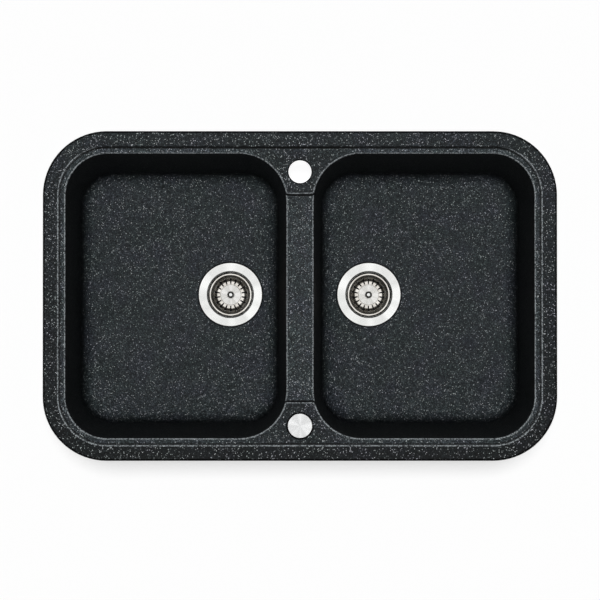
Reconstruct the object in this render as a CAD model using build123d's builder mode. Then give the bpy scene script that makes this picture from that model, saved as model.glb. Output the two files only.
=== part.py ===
from build123d import *
import math
import os

# Double bowl kitchen sink, drop-in type, cast in granite composite.
# Origin at the middle of the rim's underside, on the worktop's surface.
# +X to the right, +Y to the back (tap side), +Z up. All sizes in mm.

# Rim and deck
SINK_LENGTH = 780.0
SINK_WIDTH = 500.0
SINK_CORNER = 97.0
RIM_HEIGHT = 9.0
RIM_WIDTH = 23.5
SIDE_LEDGE = 10.8
END_LEDGE = 10.8
RIM_EDGE_ROUND = 4.0
RIM_FOOT_CHAMFER = 1.0
STEP_HEIGHT = 3.0
STEP_RUN = 1.5
STEP_ROUND = 1.5
DECK_Z = RIM_HEIGHT - STEP_HEIGHT
LAND_THICKNESS = 10.0

# Bowls
BOWL_GAP = 40.4
BOWL_CORNER_OUTER = 64.0
BOWL_CORNER_INNER = 73.0
BOWL_DEPTH = 190.0
BOWL_DRAFT_X = 14.5
BOWL_DRAFT_Y = 22.0
BOWL_FLOOR_CORNER = 50.0
BOWL_FLOOR_ROUND = 25.0
WALL = 9.0
FLOOR_THICKNESS = 10.0
MOUTH_ROUND = 2.5
FLOOR_Z = DECK_Z - BOWL_DEPTH
UNDER_Z = FLOOR_Z - FLOOR_THICKNESS
BOWL_LENGTH = (SINK_LENGTH - BOWL_GAP) / 2 - RIM_WIDTH - SIDE_LEDGE
BOWL_WIDTH = SINK_WIDTH - 2 * (RIM_WIDTH + END_LEDGE)
BOWL_X = (BOWL_GAP + BOWL_LENGTH) / 2

# Saddle between the bowls, and the lands at its two ends, which begin
# just past the start of the bowls' inner corners
SADDLE_DROP = 8.0
SADDLE_THICKNESS = 9.0
SADDLE_Z = DECK_Z - SADDLE_DROP
BACK_LAND_OFFSET = 12.3
FRONT_LAND_OFFSET = 18.9
LAND_RISER_RUN = 2.5
LAND_CORNER = 5.0

# Tap hole in the back land
TAP_HOLE = 35.0
TAP_SETBACK = 61.4
TAP_Y = SINK_WIDTH / 2 - TAP_SETBACK

# Overflow in the front land
OVERFLOW_SETBACK = 53.0
OVERFLOW_Y = OVERFLOW_SETBACK - SINK_WIDTH / 2
OVERFLOW_HOLE = 26.0
OVERFLOW_BOSS = 48.0
OVERFLOW_BOSS_HEIGHT = 6.0
RECESS_DEPTH = 4.5
COVER_DIAMETER = 37.2
COVER_GAP = 1.4
COVER_PROUD = 0.8
COVER_THICKNESS = 1.5
COVER_EDGE = 0.5
COVER_PINS = 3
COVER_PIN = 3.0
PIN_CLEARANCE = 0.1
PIN_END_GAP = 0.5
GRATE_THICKNESS = 1.2
GRATE_INSET = 0.8
GRATE_LEDGE = 0.5
GRATE_HUB = 11.0
GRATE_BAR = 4.0
OVERFLOW_SCREW = 4.0
OVERFLOW_SCREW_LENGTH = 31.5
OVERFLOW_SCREW_HEAD = 8.0
OVERFLOW_SCREW_HEAD_HEIGHT = 2.0
ELBOW_GASKET = 2.5
ELBOW_FLANGE = 44.0
ELBOW_FLANGE_THICKNESS = 3.5
ELBOW_OUTER = 30.0
ELBOW_WALL = 2.5
ELBOW_DEPTH = 28.0
ELBOW_POST = 10.0
ELBOW_POST_HEIGHT = 16.0
ELBOW_SUMP = 1.0

# Hose tails for the overflow hose
TAIL_OUTER = 19.0
TAIL_BORE = 15.0
TAIL_BARB = 21.0
TAIL_LENGTH = 24.0
BARB_LENGTH = 4.0

# Steel strainer cup, clamped into the waste hole
SEAT_OVERLAP = 2.0
DRAIN_Y = 5.0
SHEET = 1.0
FLANGE_WIDTH = 13.6
CUP_MOUTH = 71.8
CUP_LIP = 1.2
CUP_RING_DEPTH = 6.0
CUP_RING_STEP = 1.2
CUP_LEDGE_DEPTH = 36.0
CUP_LEDGE = 54.0
CUP_CONE_HEIGHT = 8.0
CUP_TAPER = 0.6
WELL_DIAMETER = 45.0
WELL_TAPER = 0.5
WELL_DEPTH = 14.0
CUP_HUB = 17.0
CUP_OPENING = 41.0
CUP_BARS = 4
CUP_BAR = 4.0
TOP_GASKET = 1.0
TOP_GASKET_EDGE = 1.4
SEAT_CLEARANCE = 1.8
SEAT_DEPTH = 2.2
DRAIN_CLEARANCE = 1.35
GASKET_MARGIN = 1.0
FLANGE_DIAMETER = CUP_MOUTH + 2 * FLANGE_WIDTH
CUP_DEPTH = CUP_LEDGE_DEPTH + WELL_DEPTH
SEAT_DIAMETER = FLANGE_DIAMETER + 2 * SEAT_CLEARANCE
DRAIN_HOLE = CUP_MOUTH + 2 * SHEET + 2 * DRAIN_CLEARANCE
DRAIN_X = BOWL_GAP / 2 + BOWL_DRAFT_X + BOWL_FLOOR_ROUND + SEAT_DIAMETER / 2 - SEAT_OVERLAP
FLANGE_Z = FLOOR_Z - SEAT_DEPTH + TOP_GASKET + SHEET

# Plastic waste body under the floor
BOTTOM_GASKET = 3.0
BODY_FLANGE_EDGE = 1.5
BODY_FLANGE_THICKNESS = 4.0
BODY_CLEARANCE = 0.65
BODY_WALL = 2.7
BODY_SHOULDER_RISE = 4.0
BODY_NECK_INNER = 50.0
BODY_NECK_GAP = 4.0
OUTLET_OUTER = 47.8
OUTLET_BORE = 40.0
OUTLET_LENGTH = 24.6
BODY_POST = 14.0
BODY_POST_LENGTH = 12.0
BODY_RIBS = 4
BODY_RIB = 3.0
BODY_RIB_HEIGHT = 9.0
BODY_GUSSETS = 6
BODY_GUSSET_HEIGHT = 15.0
INLET_DEPTH = 26.0
WASTE_INSERT = 8.0
WASTE_SCREW = 6.0
WASTE_SCREW_HEAD = 15.0
WASTE_SCREW_HEAD_HEIGHT = 8.0
WASTE_SCREW_SOCKET = 8.4
WASTE_SCREW_SOCKET_FLOOR = 1.0
BODY_FLANGE = FLANGE_DIAMETER + 2 * BODY_FLANGE_EDGE
BODY_INNER = CUP_MOUTH + 2 * SHEET + 2 * BODY_CLEARANCE
BODY_STRAIGHT = CUP_LEDGE_DEPTH - BODY_SHOULDER_RISE
NECK_FLOOR = 3.0

# Lift-out basket
BASKET_SHEET = 0.8
BASKET_RIM = 65.8
BASKET_RIM_WIDTH = 1.8
BASKET_RIM_DEPTH = 10.2
BASKET_FLOOR = 42.0
BASKET_FOOT_RUN = 1.5
BASKET_FOOT_RISE = 1.4
BASKET_WALL_TOP = 59.2
BASKET_WALL_DROP = 4.2
BASKET_SLOTS = 18
SLOT_WIDTH = 2.2
SLOT_INNER = 17.4
SLOT_OUTER = 27.0
DISC_DIAMETER = 33.0
DISC_THICKNESS = 1.2
DISC_EDGE = 0.8
KNOB_DIAMETER = 10.8
KNOB_WAIST = 6.0
KNOB_HEIGHT = 13.0
KNOB_HEAD = 4.0
KNOB_FLARE = 2.0
KNOB_ROUND = 3.4
STEM_DIAMETER = 4.0
STEM_IN_KNOB = 6.0
STEM_COLLAR = 12.0
STEM_COLLAR_HEIGHT = 1.5
CATCH_DIAMETER = 7.2
CATCH_LENGTH = 4.5
CATCH_GAP = 1.0
SEAL_DIAMETER = 53.0
SEAL_THICKNESS = 2.2
SEAL_LIP = 0.8
SEAL_GAP = 0.3
BASKET_FLOOR_DEPTH = CUP_LEDGE_DEPTH - SEAL_GAP - SEAL_THICKNESS

# Clamps that hold the sink in the worktop
WORKTOP_THICKEST = 40.0
WORKTOP_THINNEST = 28.0
CLAMP_INSET = 18.0
CLAMP_LONG_SET = 63.0
CLAMP_SHORT_SET = 33.0
BOSS_DIAMETER = 12.0
BOSS_LENGTH = 22.0
BOSS_RIB = 6.0
INSERT_DIAMETER = 7.0
INSERT_LENGTH = 12.0
SCREW_DIAMETER = 5.0
SCREW_CLEARANCE = 0.05
SCREW_ENGAGED = 4.0
SCREW_END_GAP = 1.0
SCREW_END_CHAMFER = 0.6
SCREW_WASHER = 12.0
SCREW_WASHER_THICKNESS = 1.2
SCREW_HEAD_FLATS = 8.0
SCREW_HEAD_HEIGHT = 3.5
CLAW_SLACK = 2.0
CLAW_HEIGHT = 17.0
CLAW_GAP = 0.1
CLAW_SHEET = 2.5
CLAW_WIDTH = 12.0
CLAW_REACH = 24.0
CLAW_FOOT = 4.0
CLAW_COLLAR = 10.0
CLAW_COLLAR_HEIGHT = 8.0
CLAW_GUSSET = 2.0
SCREW_TRAVEL = CLAW_SLACK + WORKTOP_THICKEST - WORKTOP_THINNEST
SCREW_TOP_Z = SCREW_ENGAGED - BOSS_LENGTH
INSERT_HOLE_TOP_Z = SCREW_TOP_Z + SCREW_TRAVEL + SCREW_END_GAP
CLAW_TIP_Z = -WORKTOP_THICKEST - CLAW_SLACK
CLAW_BASE_Z = CLAW_TIP_Z - CLAW_HEIGHT

OVER = 1.0  # how far a cutting shape runs past the surface it opens
LEVEL = 0.01  # how near a height a face must lie to count as level with it
HANGING = (Align.CENTER, Align.CENTER, Align.MAX)  # a primitive placed by its top

os.makedirs("parts", exist_ok=True)


def keep(part, label):
    """Name a finished piece and write its STEP file."""
    part.label = label
    export_step(part, f"parts/{label}.step")


def turned(*points):
    """A round piece from its half section, given as (radius, height) points."""
    with BuildPart() as piece:
        with BuildSketch(Plane.XZ):
            with BuildLine():
                Polyline(*points, close=True)
            make_face()
        revolve(axis=Axis.Z)
    return piece.part


def pressed(thickness, *points):
    """A round piece of sheet: the points run along its upper face, from its outer edge inwards."""
    upper = [Vector(*point) for point in points]
    runs = [(end - start).normalized() for start, end in zip(upper, upper[1:])]
    downs = [Vector(-run.Y, run.X) for run in runs]
    bends = [(a + b) / (1 + a.dot(b)) for a, b in zip(downs, downs[1:])]
    lower = [p + down * thickness for p, down in zip(upper, [downs[0], *bends, downs[-1]])]
    return turned(*upper, *reversed(lower))


def ring(outer_diameter, inner_diameter, low, high):
    """A plain ring between two heights."""
    outer, inner = outer_diameter / 2, inner_diameter / 2
    return turned((inner, low), (outer, low), (outer, high), (inner, high))


# --- the casting ---


def bowl_outline(side, length, width, outer_radius, inner_radius):
    """Plan of a bowl: its two corners by the saddle are rounder than the outer two."""
    with BuildSketch() as plan:
        Rectangle(length, width)
        fillet(plan.vertices().group_by(Axis.X)[0 if side > 0 else -1], inner_radius)
        fillet(plan.vertices().group_by(Axis.X)[-1 if side > 0 else 0], outer_radius)
    return plan.sketch


def bowl_form(side, wall, bottom_z, foot_round):
    """The bowl's hollow or, with a wall added, its outside, from the deck down."""
    top = bowl_outline(
        side,
        BOWL_LENGTH + 2 * wall,
        BOWL_WIDTH + 2 * wall,
        BOWL_CORNER_OUTER + wall,
        BOWL_CORNER_INNER + wall,
    )
    bottom = bowl_outline(
        side,
        BOWL_LENGTH - 2 * BOWL_DRAFT_X + 2 * wall,
        BOWL_WIDTH - 2 * BOWL_DRAFT_Y + 2 * wall,
        BOWL_FLOOR_CORNER + wall,
        BOWL_FLOOR_CORNER + wall,
    )
    with BuildPart() as form:
        with BuildSketch(Plane((side * BOWL_X, 0, DECK_Z))):
            add(top)
        with BuildSketch(Plane((side * BOWL_X, 0, bottom_z))):
            add(bottom)
        loft(ruled=True)
        fillet(form.faces().sort_by(Axis.Z)[0].edges(), foot_round)
    return form.part


def level_face(part, height):
    """The one flat face of a part that lies at this height."""
    flat_faces = part.faces().filter_by(Axis.Z)
    return flat_faces.filter_by_position(Axis.Z, height - LEVEL, height + LEVEL)[0]


hollows = [bowl_form(side, 0, FLOOR_Z, BOWL_FLOOR_ROUND) for side in (-1, 1)]
shells = [bowl_form(side, WALL, UNDER_Z, BOWL_FLOOR_ROUND + WALL) for side in (-1, 1)]
drain_places = {"left": Pos(-DRAIN_X, DRAIN_Y, 0), "right": Pos(DRAIN_X, DRAIN_Y, 0)}

# Clamps stand two to a side, each turned so that its +X points out at the worktop.
clamp_y = SINK_WIDTH / 2 - CLAMP_INSET
clamp_x = SINK_LENGTH / 2 - CLAMP_INSET
long_x = SINK_LENGTH / 2 - SINK_CORNER - CLAMP_LONG_SET
short_y = SINK_WIDTH / 2 - SINK_CORNER - CLAMP_SHORT_SET
corners = [(x, y) for y in (1, -1) for x in (-1, 1)]
long_places = [Location((x * long_x, y * clamp_y, 0), (0, 0, 90 * y)) for x, y in corners]
short_places = [Location((x * clamp_x, y * short_y, 0), (0, 0, 90 - 90 * x)) for x, y in corners]
clamp_places = long_places + short_places
corner_start_y = BOWL_WIDTH / 2 - BOWL_CORNER_INNER
back_land_y = corner_start_y + BACK_LAND_OFFSET
front_land_y = -corner_start_y - FRONT_LAND_OFFSET
land_foot_z = DECK_Z - LAND_THICKNESS

with BuildPart() as sink_casting:
    with BuildSketch():
        RectangleRounded(SINK_LENGTH, SINK_WIDTH, SINK_CORNER)
    extrude(amount=RIM_HEIGHT)
    chamfer(sink_casting.faces().sort_by(Axis.Z)[0].edges(), RIM_FOOT_CHAMFER)
    fillet(sink_casting.faces().sort_by(Axis.Z)[-1].edges(), RIM_EDGE_ROUND)
    with BuildSketch(Plane.XY.offset(RIM_HEIGHT)):
        RectangleRounded(
            SINK_LENGTH - 2 * RIM_WIDTH, SINK_WIDTH - 2 * RIM_WIDTH, SINK_CORNER - RIM_WIDTH
        )
    extrude(
        amount=-STEP_HEIGHT,
        taper=math.degrees(math.atan(STEP_RUN / STEP_HEIGHT)),
        mode=Mode.SUBTRACT,
    )
    fillet(sink_casting.faces().sort_by(Axis.Z)[-1].inner_wires().edges(), STEP_ROUND)
    for shell in shells:
        add(shell)
    # Both lands and the saddle bridge the gap between the two shells.
    with BuildSketch(Plane.XY.offset(land_foot_z)):
        Rectangle(BOWL_GAP + 2 * BOWL_CORNER_INNER, BOWL_WIDTH + WALL)
    extrude(amount=LAND_THICKNESS / 2)
    with BuildSketch(Plane.XY.offset(SADDLE_Z - SADDLE_THICKNESS)):
        with Locations((0, (back_land_y + front_land_y) / 2)):
            Rectangle(BOWL_GAP, back_land_y - front_land_y + 2 * SADDLE_THICKNESS)
    extrude(amount=SADDLE_THICKNESS)
    for hollow in hollows:
        add(hollow, mode=Mode.SUBTRACT)
    # The saddle lies lower than the lands, between two leaning risers.
    with BuildSketch(Plane.YZ.offset(-BOWL_GAP)):
        with BuildLine():
            Polyline(
                (front_land_y + LAND_RISER_RUN, SADDLE_Z),
                (back_land_y - LAND_RISER_RUN, SADDLE_Z),
                (back_land_y, DECK_Z),
                (back_land_y, RIM_HEIGHT + OVER),
                (front_land_y, RIM_HEIGHT + OVER),
                (front_land_y, DECK_Z),
                close=True,
            )
        make_face()
    extrude(amount=2 * BOWL_GAP, mode=Mode.SUBTRACT)
    land_corners = [
        edge
        for edge in sink_casting.edges()
        if SADDLE_Z < edge.center().Z < DECK_Z
        and BOWL_GAP / 4 < abs(edge.center().X) < BOWL_GAP
        and edge.bounding_box().size.Z > SADDLE_DROP / 2
        and abs(edge.center().Y) < BOWL_WIDTH / 2 - LAND_CORNER
    ]
    fillet(land_corners, LAND_CORNER)
    # One rounding runs round both bowl mouths, along the saddle and under the risers.
    fillet(
        level_face(sink_casting, DECK_Z).inner_wires().edges()
        + level_face(sink_casting, SADDLE_Z).outer_wire().edges(),
        MOUTH_ROUND,
    )
    with Locations((0, TAP_Y, DECK_Z)):
        Hole(TAP_HOLE / 2, LAND_THICKNESS)
    with Locations((0, OVERFLOW_Y, land_foot_z)):
        Cylinder(OVERFLOW_BOSS / 2, OVERFLOW_BOSS_HEIGHT, align=HANGING)
    with Locations((0, OVERFLOW_Y, DECK_Z)):
        Hole(OVERFLOW_HOLE / 2, LAND_THICKNESS + OVERFLOW_BOSS_HEIGHT)
        Hole(COVER_DIAMETER / 2 + COVER_GAP, RECESS_DEPTH)
    # The seat for the strainer's flange runs a little into the floor's rounding.
    with Locations(*[place * Pos(0, 0, FLOOR_Z + OVER) for place in drain_places.values()]):
        Hole(DRAIN_HOLE / 2, FLOOR_THICKNESS + OVER)
        Hole(SEAT_DIAMETER / 2, SEAT_DEPTH + OVER)
    # Each clamp screws into a boss that a rib ties to the middle of the bowl's wall.
    for places, ledge in ((long_places, END_LEDGE), (short_places, SIDE_LEDGE)):
        with Locations(*places):
            Cylinder(BOSS_DIAMETER / 2, BOSS_LENGTH, align=HANGING)
            Box(
                RIM_WIDTH + ledge - WALL / 2 - CLAMP_INSET,
                BOSS_RIB,
                BOSS_LENGTH,
                align=(Align.MAX, Align.CENTER, Align.MAX),
            )
    with Locations(*[place * Pos(0, 0, INSERT_HOLE_TOP_Z) for place in clamp_places]):
        Cylinder(
            INSERT_DIAMETER / 2,
            INSERT_HOLE_TOP_Z + BOSS_LENGTH,
            align=HANGING,
            mode=Mode.SUBTRACT,
        )
keep(sink_casting.part, "sink_casting")


# --- one waste set, drawn round the drain's axis with the flange's top at height 0 ---

cup_r = CUP_MOUTH / 2
under_z = UNDER_Z - FLANGE_Z
body_top_z = under_z - BOTTOM_GASKET
body_flange_foot_z = body_top_z - BODY_FLANGE_THICKNESS
neck_z = -CUP_DEPTH - BODY_NECK_GAP
post_foot_z = neck_z - BODY_POST_LENGTH
outlet_top_z = neck_z - 2 * BODY_WALL
outlet_foot_z = outlet_top_z - OUTLET_LENGTH

with BuildPart() as strainer_flange:
    add(
        pressed(
            SHEET,
            (FLANGE_DIAMETER / 2, 0),
            (cup_r + CUP_LIP, 0),
            (cup_r + CUP_LIP / 3, -CUP_LIP / 3),
            (cup_r, -CUP_LIP),
            (cup_r, -CUP_RING_DEPTH),
            (cup_r - CUP_RING_STEP, -CUP_RING_DEPTH - CUP_RING_STEP),
            (cup_r - CUP_RING_STEP - CUP_TAPER, CUP_CONE_HEIGHT - CUP_LEDGE_DEPTH),
            (CUP_LEDGE / 2, -CUP_LEDGE_DEPTH),
            (WELL_DIAMETER / 2, -CUP_LEDGE_DEPTH),
            (WELL_DIAMETER / 2 - WELL_TAPER, SHEET - CUP_DEPTH),
            (0, SHEET - CUP_DEPTH),
        )
    )
    with BuildSketch(Plane.XY.offset(-CUP_DEPTH)):
        Circle(CUP_OPENING / 2)
        Circle(CUP_HUB / 2, mode=Mode.SUBTRACT)
        with PolarLocations(0, CUP_BARS // 2, angular_range=180):
            Rectangle(CUP_OPENING, CUP_BAR, mode=Mode.SUBTRACT)
        Circle(WASTE_SCREW / 2)
    extrude(amount=SHEET, mode=Mode.SUBTRACT)

gasket_bore = DRAIN_HOLE + GASKET_MARGIN
top_gasket = ring(
    FLANGE_DIAMETER + 2 * TOP_GASKET_EDGE, gasket_bore, -SHEET - TOP_GASKET, -SHEET
)
bottom_gasket = ring(BODY_FLANGE - 2 * GASKET_MARGIN, gasket_bore, body_top_z, under_z)

with BuildPart() as waste_body:
    add(
        turned(
            (BODY_INNER / 2, body_top_z),
            (BODY_FLANGE / 2, body_top_z),
            (BODY_FLANGE / 2, body_flange_foot_z),
            (BODY_INNER / 2 + BODY_WALL, body_flange_foot_z),
            (BODY_INNER / 2 + BODY_WALL, -BODY_STRAIGHT - BODY_WALL),
            (BODY_NECK_INNER / 2 + BODY_WALL, BODY_NECK_GAP - CUP_DEPTH - BODY_WALL),
            (BODY_NECK_INNER / 2 + BODY_WALL, neck_z - BODY_WALL),
            (OUTLET_OUTER / 2, outlet_top_z),
            (OUTLET_OUTER / 2, outlet_foot_z),
            (OUTLET_BORE / 2, outlet_foot_z),
            (OUTLET_BORE / 2, neck_z - NECK_FLOOR),
            (BODY_NECK_INNER / 2, neck_z),
            (BODY_NECK_INNER / 2, BODY_NECK_GAP - CUP_DEPTH),
            (BODY_INNER / 2, -BODY_STRAIGHT),
        )
    )
    # A post on four ribs stands in the outlet's mouth and holds the brass insert.
    with BuildSketch(Plane.XY.offset(post_foot_z)):
        Circle(BODY_POST / 2)
        with PolarLocations(0, BODY_RIBS // 2, angular_range=180):
            Rectangle(OUTLET_BORE + BODY_WALL, BODY_RIB)
        Circle(WASTE_INSERT / 2, mode=Mode.SUBTRACT)
    extrude(amount=BODY_RIB_HEIGHT)
    with BuildSketch(Plane.XY.offset(post_foot_z)):
        Circle(BODY_POST / 2)
        Circle(WASTE_INSERT / 2, mode=Mode.SUBTRACT)
    extrude(amount=BODY_POST_LENGTH)
    # Gussets brace the clamping flange from below.
    for place in PolarLocations(0, BODY_GUSSETS, start_angle=180 / BODY_GUSSETS):
        with BuildSketch(Plane(place) * Plane.XZ.offset(-BODY_RIB / 2)):
            with BuildLine():
                Polyline(
                    (BODY_INNER / 2 + BODY_WALL / 2, body_flange_foot_z),
                    (BODY_FLANGE / 2 - GASKET_MARGIN, body_flange_foot_z),
                    (BODY_INNER / 2 + BODY_WALL, body_flange_foot_z - BODY_GUSSET_HEIGHT),
                    (BODY_INNER / 2 + BODY_WALL / 2, body_flange_foot_z - BODY_GUSSET_HEIGHT),
                    close=True,
                )
            make_face()
        extrude(amount=BODY_RIB)


def hose_tail(root, tip):
    """A barbed hose tail that runs along +X between two distances."""
    radius, barb = TAIL_OUTER / 2, TAIL_BARB / 2
    with BuildPart() as tail:
        with BuildSketch(Plane.XY):
            with BuildLine():
                Polyline(
                    (root, 0),
                    (root, radius),
                    (tip - 2 * BARB_LENGTH, radius),
                    (tip - 2 * BARB_LENGTH, barb),
                    (tip - BARB_LENGTH, radius),
                    (tip - BARB_LENGTH, barb),
                    (tip, radius),
                    (tip, 0),
                    close=True,
                )
            make_face()
        revolve(axis=Axis.X)
    return tail.part


body_outer = BODY_INNER / 2 + BODY_WALL
inlet = Pos(0, 0, -INLET_DEPTH)
with BuildPart() as waste_body_with_inlet:
    add(waste_body.part)
    add(inlet * hose_tail(body_outer - BODY_WALL / 2, body_outer + TAIL_LENGTH))
    with Locations(inlet * Location((body_outer + TAIL_LENGTH, 0, 0), (0, 90, 0))):
        Cylinder(
            TAIL_BORE / 2,
            TAIL_LENGTH + BODY_WALL + TAIL_BORE / 4,
            align=HANGING,
            mode=Mode.SUBTRACT,
        )

waste_insert = ring(WASTE_INSERT, WASTE_SCREW, post_foot_z, neck_z)
plate_z = SHEET - CUP_DEPTH
head_top_z = plate_z + WASTE_SCREW_HEAD_HEIGHT
waste_screw = turned(
    (0, post_foot_z),
    (WASTE_SCREW / 2, post_foot_z),
    (WASTE_SCREW / 2, plate_z),
    (WASTE_SCREW_HEAD / 2, plate_z),
    (WASTE_SCREW_HEAD / 2, head_top_z),
    (WASTE_SCREW_SOCKET / 2, head_top_z),
    (WASTE_SCREW_SOCKET / 2, plate_z + WASTE_SCREW_SOCKET_FLOOR),
    (0, plate_z + WASTE_SCREW_SOCKET_FLOOR),
)

# --- the lift-out basket, on the same axis and heights ---

basket_floor_z = BASKET_SHEET - BASKET_FLOOR_DEPTH
basket_foot_r = BASKET_FLOOR / 2
with BuildPart() as basket_cup:
    add(
        pressed(
            BASKET_SHEET,
            (BASKET_RIM / 2, -BASKET_RIM_DEPTH),
            (BASKET_RIM / 2 - BASKET_RIM_WIDTH, -BASKET_RIM_DEPTH),
            (BASKET_WALL_TOP / 2, -BASKET_RIM_DEPTH - BASKET_WALL_DROP),
            (basket_foot_r + BASKET_FOOT_RUN, basket_floor_z + BASKET_FOOT_RISE),
            (basket_foot_r, basket_floor_z),
            (0, basket_floor_z),
        )
    )
    with BuildSketch(Plane.XY.offset(-BASKET_FLOOR_DEPTH)):
        with PolarLocations((SLOT_INNER + SLOT_OUTER) / 2, BASKET_SLOTS, start_angle=90):
            Rectangle(SLOT_OUTER - SLOT_INNER, SLOT_WIDTH)
        Circle(STEM_DIAMETER / 2)
    extrude(amount=BASKET_FLOOR_DEPTH - BASKET_RIM_DEPTH, mode=Mode.SUBTRACT)

disc_top_z = basket_floor_z + DISC_THICKNESS
basket_disc = turned(
    (STEM_DIAMETER / 2, basket_floor_z),
    (DISC_DIAMETER / 2, basket_floor_z),
    (DISC_DIAMETER / 2, disc_top_z - DISC_EDGE),
    (DISC_DIAMETER / 2 - DISC_EDGE, disc_top_z),
    (STEM_DIAMETER / 2, disc_top_z),
)

knob_top_z = disc_top_z + KNOB_HEIGHT
knob_r = KNOB_DIAMETER / 2
with BuildPart() as basket_knob:
    add(
        turned(
            (STEM_DIAMETER / 2, disc_top_z),
            (KNOB_WAIST / 2, disc_top_z),
            (KNOB_WAIST / 2, knob_top_z - KNOB_HEAD - KNOB_FLARE),
            (knob_r, knob_top_z - KNOB_HEAD),
            (knob_r, knob_top_z),
            (0, knob_top_z),
            (0, disc_top_z + STEM_IN_KNOB),
            (STEM_DIAMETER / 2, disc_top_z + STEM_IN_KNOB),
        )
    )
    fillet(basket_knob.edges().group_by(Axis.Z)[-1], KNOB_ROUND)

seal_foot_z = SEAL_GAP - CUP_LEDGE_DEPTH
basket_seal = turned(
    (STEM_DIAMETER / 2, -BASKET_FLOOR_DEPTH),
    (STEM_DIAMETER / 2, seal_foot_z),
    (SEAL_DIAMETER / 2, seal_foot_z),
    (SEAL_DIAMETER / 2, seal_foot_z + SEAL_LIP),
    (basket_foot_r, -BASKET_FLOOR_DEPTH),
)

collar_foot_z = seal_foot_z - STEM_COLLAR_HEIGHT
catch_foot_z = plate_z + WASTE_SCREW_SOCKET_FLOOR + CATCH_GAP
basket_stem = turned(
    (0, disc_top_z + STEM_IN_KNOB),
    (STEM_DIAMETER / 2, disc_top_z + STEM_IN_KNOB),
    (STEM_DIAMETER / 2, seal_foot_z),
    (STEM_COLLAR / 2, seal_foot_z),
    (STEM_COLLAR / 2, collar_foot_z),
    (STEM_DIAMETER / 2, collar_foot_z),
    (STEM_DIAMETER / 2, catch_foot_z + CATCH_LENGTH),
    (CATCH_DIAMETER / 2, catch_foot_z + CATCH_LENGTH * 2 / 3),
    (CATCH_DIAMETER / 2, catch_foot_z + CATCH_LENGTH / 3),
    (STEM_DIAMETER / 2, catch_foot_z),
    (0, catch_foot_z),
)

waste_pieces = {
    "strainer_flange": strainer_flange.part,
    "strainer_top_gasket": top_gasket,
    "strainer_bottom_gasket": bottom_gasket,
    "waste_insert": waste_insert,
    "waste_screw": waste_screw,
    "basket_cup": basket_cup.part,
    "basket_disc": basket_disc,
    "basket_knob": basket_knob.part,
    "basket_stem": basket_stem,
    "basket_seal": basket_seal,
}
for side, place in drain_places.items():
    for name, piece in waste_pieces.items():
        keep(place * Pos(0, 0, FLANGE_Z) * piece, f"{name}_{side}")
keep(drain_places["left"] * Pos(0, 0, FLANGE_Z) * waste_body_with_inlet.part, "waste_body_left")
keep(drain_places["right"] * Pos(0, 0, FLANGE_Z) * waste_body.part, "waste_body_right")

# --- the overflow, drawn round the overflow hole's axis ---

recess_floor_z = DECK_Z - RECESS_DEPTH
cover_foot_z = DECK_Z + COVER_PROUD - COVER_THICKNESS
grate_diameter = COVER_DIAMETER - 2 * GRATE_INSET
pin_ring = (OVERFLOW_HOLE + grate_diameter) / 4
with BuildPart() as overflow_cover:
    with BuildSketch(Plane.XY.offset(cover_foot_z)):
        Circle(COVER_DIAMETER / 2)
    extrude(amount=COVER_THICKNESS)
    chamfer(overflow_cover.faces().sort_by(Axis.Z)[-1].edges(), COVER_EDGE)
    with Locations((0, 0, cover_foot_z)):
        with PolarLocations(pin_ring, COVER_PINS, start_angle=90):
            Cylinder(
                COVER_PIN / 2, cover_foot_z - recess_floor_z - PIN_END_GAP, align=HANGING
            )

with BuildPart() as overflow_grate:
    with BuildSketch(Plane.XY.offset(recess_floor_z)):
        Circle(grate_diameter / 2)
        Circle(OVERFLOW_HOLE / 2 - GRATE_LEDGE, mode=Mode.SUBTRACT)
        Circle(GRATE_HUB / 2)
        with PolarLocations(OVERFLOW_HOLE / 4, COVER_PINS, start_angle=90):
            Rectangle(OVERFLOW_HOLE / 2 + GRATE_LEDGE, GRATE_BAR)
        with PolarLocations(pin_ring, COVER_PINS, start_angle=90):
            Circle(COVER_PIN / 2 + PIN_CLEARANCE, mode=Mode.SUBTRACT)
        Circle(OVERFLOW_SCREW / 2, mode=Mode.SUBTRACT)
    extrude(amount=GRATE_THICKNESS)

grate_top_z = recess_floor_z + GRATE_THICKNESS
screw_end_z = grate_top_z - OVERFLOW_SCREW_LENGTH
overflow_screw = turned(
    (0, screw_end_z),
    (OVERFLOW_SCREW / 2, screw_end_z),
    (OVERFLOW_SCREW / 2, grate_top_z),
    (OVERFLOW_SCREW_HEAD / 2, grate_top_z),
    (OVERFLOW_SCREW_HEAD / 2, grate_top_z + OVERFLOW_SCREW_HEAD_HEIGHT / 2),
    (OVERFLOW_SCREW_HEAD / 3, grate_top_z + OVERFLOW_SCREW_HEAD_HEIGHT),
    (0, grate_top_z + OVERFLOW_SCREW_HEAD_HEIGHT),
)

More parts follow.
